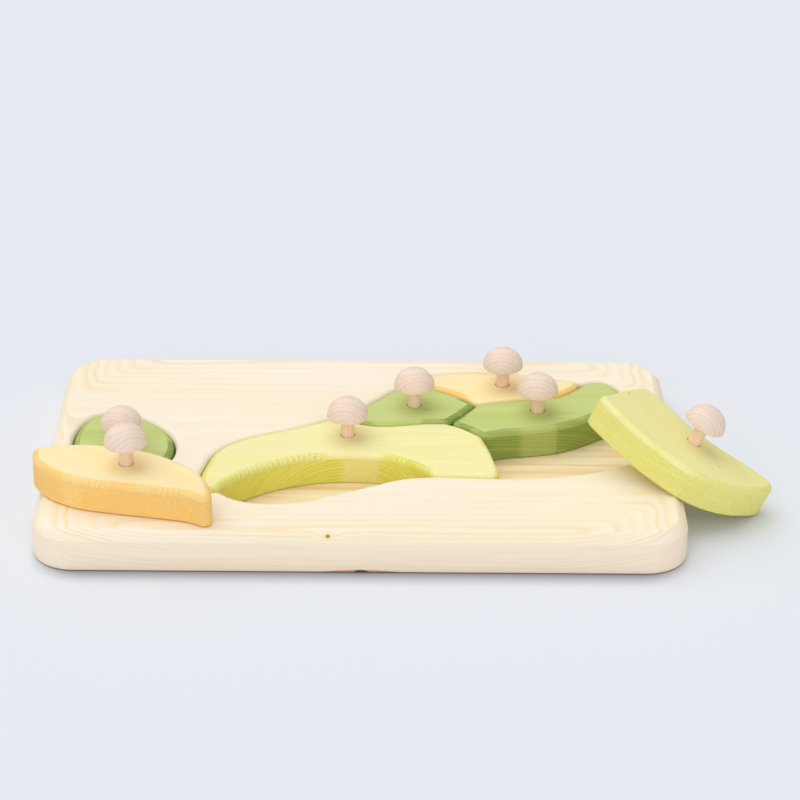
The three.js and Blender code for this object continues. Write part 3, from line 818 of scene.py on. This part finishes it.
def turned(tree, given, grid, turn, radius, height):
    """Ends a turning tree: the outline goes round the axis, and the turned piece is set in place."""
    x = product(tree, radius, math_of(tree, "COSINE", turn))
    y = product(tree, radius, math_of(tree, "SINE", turn))
    point = add_node(tree, "ShaderNodeCombineXYZ", {0: x, 1: y, 2: height}).outputs[0]
    shaped = add_node(tree, "GeometryNodeSetPosition", {"Geometry": grid, "Position": point}).outputs[0]
    seam = {"Geometry": shaped, "Distance": SEAM_GAP * MM}
    closed = add_node(tree, "GeometryNodeMergeByDistance", seam).outputs[0]
    position = add_node(tree, "GeometryNodeInputPosition").outputs[0]
    spin = {"Vector": position, "Angle": given["Spin"]}
    spun = add_node(tree, "ShaderNodeVectorRotate", spin, rotation_type="Z_AXIS").outputs[0]
    named = {"Geometry": closed, "Name": "turning", "Value": spun}
    kept = add_node(tree, "GeometryNodeStoreNamedAttribute", named, data_type="FLOAT_VECTOR", domain="POINT")
    lean = add_node(tree, "ShaderNodeCombineXYZ", {1: given["Tilt"]}).outputs[0]
    stand = {"Geometry": kept.outputs[0], "Translation": given["Foot"], "Rotation": lean}
    placed = add_node(tree, "GeometryNodeTransform", stand).outputs[0]
    real = add_node(tree, "GeometryNodeRealizeInstances", {"Geometry": placed}).outputs[0]
    dressed = add_node(tree, "GeometryNodeSetMaterial", {"Geometry": real, "Material": given["Material"]})
    out = tree.nodes.new("NodeGroupOutput")
    tree.links.new(dressed.outputs[0], out.inputs["Geometry"])
    return tree


def dowel_tree():
    """The rod's outline: out along its end, over the eased edge, up, over the other edge, and in again."""
    tree, given, grid, turn, (start, ease, length, ease_back, end) = turning_tree(
        "turned_dowel",
        {"Diameter": DOWEL_DIAMETER * MM, "Length": DOWEL_LENGTH * MM, "Ease": DOWEL_EASE * MM},
    )
    half = product(tree, given["Diameter"], 0.5)
    flat = difference(tree, half, given["Ease"])
    wide = product(tree, flat, difference(tree, start, end))
    eased = product(tree, given["Ease"], difference(tree, ease, ease_back))
    long = difference(tree, given["Length"], product(tree, given["Ease"], 2.0))
    rise = product(tree, given["Ease"], total(tree, ease, ease_back))
    height = total(tree, rise, product(tree, long, length))
    return turned(tree, given, grid, turn, total(tree, wide, eased), height)


def made_by(tree, name, values):
    """A plain mesh object from a turning tree with its inputs set, in the body's frame."""
    maker = bpy.data.objects.new(name, bpy.data.meshes.new(f"{name}_start"))
    bpy.context.scene.collection.objects.link(maker)
    modifier = maker.modifiers.new("turning", "NODES")
    modifier.node_group = tree
    for item in tree.interface.items_tree:
        if item.item_type == "SOCKET" and item.in_out == "INPUT" and item.name in values:
            modifier[item.identifier] = values[item.name]
    bpy.context.view_layer.update()
    ready = maker.evaluated_get(bpy.context.evaluated_depsgraph_get())
    mesh = bpy.data.meshes.new_from_object(ready)
    maker.modifiers.remove(modifier)
    maker.data = mesh
    mesh.name = name
    shell = bmesh.new()
    shell.from_mesh(mesh)
    bmesh.ops.recalc_face_normals(shell, faces=shell.faces)
    shell.to_mesh(mesh)
    shell.free()
    mesh.shade_smooth()
    mesh.set_sharp_from_angle(angle=math.radians(CRISP_TURNED_EDGE))
    return maker


def beech_material(name, pale, line, fleck, line_share, grain_turn, pith):
    """Turned beech: faint growth rings round a pith in its own frame, and the short flecks of its rays."""
    material, tree, shader = new_material(name, roughness=0.5)
    place = add_node(tree, "ShaderNodeAttribute", attribute_name="turning").outputs["Vector"]
    leaned = add_node(tree, "ShaderNodeMapping", {"Vector": place, "Rotation": grain_turn}).outputs[0]
    settings = {**BEECH_RINGS, "Pith Y": pith[0], "Pith Z": pith[1]}
    late, fibre, _ = grown(tree, leaned, settings)
    lined = mixed(tree, product(tree, late, line_share), seen(*pale), seen(*line))
    rays = noise(tree, stretched(tree, leaned, 420.0, 2600.0, 2600.0), detail=1.0)
    flecked = mixed(tree, ramp(tree, rays, 0.62, 0.74, 0.0, 0.5), lined, seen(*fleck))
    coloured = shaded(tree, flecked, ramp(tree, fibre, 0.2, 0.8, 0.94, 1.04))
    tree.links.new(coloured, shader.inputs["Base Color"])
    add_relief(tree, shader, fibre, BEECH_RELIEF)
    return material


def grip_pose(name):
    """The foot of a grip, its axis and its tilt, without the piece's turn."""
    foot = POSES[name].to_translation()
    axis = POSES[name].to_3x3() @ Vector((0, 0, 1))
    return foot, axis, math.atan2(axis.x, axis.z)


DOWEL_TURNING = dowel_tree()
DOWEL_BEECH = beech_material(
    "dowel_beech", pale=(249, 219, 195), line=(238, 200, 173), fleck=(216, 170, 139), line_share=0.5,
    grain_turn=(0, math.pi / 2, 0), pith=(-9, -14),
)
DOWEL_FOOT = DOWEL_MIDDLE - DOWEL_LENGTH / 2

for number, piece_name in enumerate(POSES):
    foot, axis, tilt = grip_pose(piece_name)
    dowel = made_by(DOWEL_TURNING, f"{piece_name}_rod", {
        "Diameter": DOWEL_DIAMETER * MM, "Length": DOWEL_LENGTH * MM, "Ease": DOWEL_EASE * MM,
        "Sides": DOWEL_SIDES, "Foot": foot + axis * DOWEL_FOOT * MM, "Tilt": tilt,
        "Spin": DOWEL_SPIN * number, "Material": DOWEL_BEECH,
    })
    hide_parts(f"{piece_name}_dowel")
    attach(dowel, piece_name)


# The knobs are beech balls cut in half, with a flat underside and a barely rounded rim, bored from below
# and glued on the dowels. Another tree turns their outline, from the end of the bore to the top of the dome.
KNOB_DIAMETER = 25.0
KNOB_RIM = 0.9
KNOB_BORE_DEPTH = 8.25
KNOB_HEIGHT = 32.0
KNOB_SIDES = 56


def knob_tree():
    """The half ball's outline: the bore's end, its wall, the flat underside, the rim and the dome."""
    tree, given, grid, turn, (bore_end, bore_wall, under, rim, dome) = turning_tree(
        "turned_half_ball",
        {"Diameter": KNOB_DIAMETER * MM, "Rim Round": KNOB_RIM * MM, "Bore Diameter": DOWEL_HOLE * MM,
         "Bore Depth": KNOB_BORE_DEPTH * MM},
    )
    half = product(tree, given["Diameter"], 0.5)
    bore = product(tree, given["Bore Diameter"], 0.5)
    inner = difference(tree, half, given["Rim Round"])
    rim_turn = product(tree, rim, math.pi / 2)
    dome_turn = product(tree, dome, math.pi / 2)
    drawn_in = difference(tree, math_of(tree, "COSINE", dome_turn), 1.0)
    rim_rise = difference(tree, 1.0, math_of(tree, "COSINE", rim_turn))
    radius = total(
        tree,
        product(tree, bore, bore_end),
        product(tree, difference(tree, inner, bore), under),
        product(tree, given["Rim Round"], math_of(tree, "SINE", rim_turn)),
        product(tree, half, drawn_in),
    )
    height = total(
        tree,
        product(tree, given["Bore Depth"], difference(tree, 1.0, bore_wall)),
        product(tree, given["Rim Round"], rim_rise),
        product(tree, inner, math_of(tree, "SINE", dome_turn)),
    )
    return turned(tree, given, grid, turn, radius, height)


KNOB_TURNING = knob_tree()
KNOB_BEECH = beech_material(
    "knob_beech", pale=(243, 221, 203), line=(226, 196, 174), fleck=(220, 184, 160), line_share=0.45,
    grain_turn=(0.1, 0, -math.pi / 2), pith=(0, -4.5),
)
KNOB_SPINS = {
    "head": 0.2, "back": -0.2, "back_fin": 0.1, "upper_tail": 0.15, "lower_tail": 0.5, "belly_fin": -0.5,
    "bubble": 0.3,
}

for piece_name, spin in KNOB_SPINS.items():
    foot, axis, tilt = grip_pose(piece_name)
    knob = made_by(KNOB_TURNING, f"{piece_name}_half_ball", {
        "Diameter": KNOB_DIAMETER * MM, "Rim Round": KNOB_RIM * MM, "Bore Diameter": DOWEL_HOLE * MM,
        "Bore Depth": KNOB_BORE_DEPTH * MM, "Sides": KNOB_SIDES, "Foot": foot + axis * KNOB_HEIGHT * MM,
        "Tilt": tilt, "Spin": spin, "Material": KNOB_BEECH,
    })
    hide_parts(f"{piece_name}_knob")
    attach(knob, piece_name)


# The studio: a pale floor under even light from all round, a broad soft light from above and behind, and a
# low fill from the front. The floor's colour is painted darker in front of the board, a painted shadow where
# the board throws its shade.
FLOOR_REACH = 12000.0
FLOOR_GREY = (229, 232, 237)
SHADE_GREY = (118, 113, 126)
SHADE_SHARE = 0.7
SHADE_FORWARD = 12.0
SHADE_CORNER = 30.0
SHADE_FULL = -16.0
SHADE_END = 4.0
SKY_BLUE = (244, 248, 255)
SKY_STRENGTH = 0.52
LAMP_COLOUR = (1.0, 0.98, 0.95)
floor_mesh = bpy.data.meshes.new("studio_floor")
reach = FLOOR_REACH * MM
corners = [(-reach, -reach, 0), (reach, -reach, 0), (reach, reach, 0), (-reach, reach, 0)]
floor_mesh.from_pydata(corners, [], [(0, 1, 2, 3)])
floor = bpy.data.objects.new("studio_floor", floor_mesh)
bpy.context.scene.collection.objects.link(floor)
floor_material, floor_tree, floor_shader = new_material("pale_floor", roughness=0.9)
floor_shader.inputs["Specular IOR Level"].default_value = 0.1
floor_place = add_node(floor_tree, "ShaderNodeTexCoord").outputs["Object"]
shade_sockets = {0: floor_place, 1: (0, SHADE_FORWARD * MM, 0)}
shade_place = add_node(floor_tree, "ShaderNodeVectorMath", shade_sockets, operation="ADD").outputs[0]
shade_edge = from_board_edge(floor_tree, shade_place, SHADE_CORNER)
shade = ramp(floor_tree, shade_edge, SHADE_FULL * MM, SHADE_END * MM, SHADE_SHARE, 0.0)
floor_colour = mixed(floor_tree, shade, seen(*FLOOR_GREY), seen(*SHADE_GREY))
floor_tree.links.new(floor_colour, floor_shader.inputs["Base Color"])
floor_mesh.materials.append(floor_material)

sky = bpy.data.worlds.new("studio_light")
sky.use_nodes = True
sky.node_tree.nodes["Background"].inputs["Color"].default_value = seen(*SKY_BLUE)
sky.node_tree.nodes["Background"].inputs["Strength"].default_value = SKY_STRENGTH
bpy.context.scene.world = sky

for lamp_name, energy, spread, lamp_place in (
    ("soft_light", 1.48, 75, (-0.28, 0.3, 0.91)),
    ("low_fill", 1.05, 70, (0.0, -0.93, 0.36)),
):
    lamp_data = bpy.data.lights.new(lamp_name, "SUN")
    lamp_data.energy = energy
    lamp_data.angle = math.radians(spread)
    lamp_data.color = LAMP_COLOUR
    lamp = bpy.data.objects.new(lamp_name, lamp_data)
    lamp.location = lamp_place
    lamp.rotation_euler = (-Vector(lamp_place)).to_track_quat("-Z", "Y").to_euler()
    bpy.context.scene.collection.objects.link(lamp)


# The camera stands where the photograph's did: low in front of the board, with a long lens. It is a hair off
# level, and its place is in millimetres.
CAMERA_PLACE = (18.89, -1447.07, 766.92)
CAMERA_RIGHT = (0.99997, 0.0011, 0.00719)
CAMERA_AHEAD = (0.0022, 0.89648, -0.44307)
CAMERA_LENS = 121.66
CAMERA_SENSOR = 36.0
camera_data = bpy.data.cameras.new("photo_camera")
camera_data.lens = CAMERA_LENS
camera_data.sensor_width = CAMERA_SENSOR
camera = bpy.data.objects.new("photo_camera", camera_data)
right = Vector(CAMERA_RIGHT)
ahead = Vector(CAMERA_AHEAD)
stance = Matrix((right, right.cross(ahead), -ahead)).transposed().to_4x4()
camera.matrix_world = Matrix.Translation(Vector(CAMERA_PLACE) * MM) @ stance
bpy.context.scene.collection.objects.link(camera)
bpy.context.scene.camera = camera
bpy.context.scene.view_settings.view_transform = "Standard"
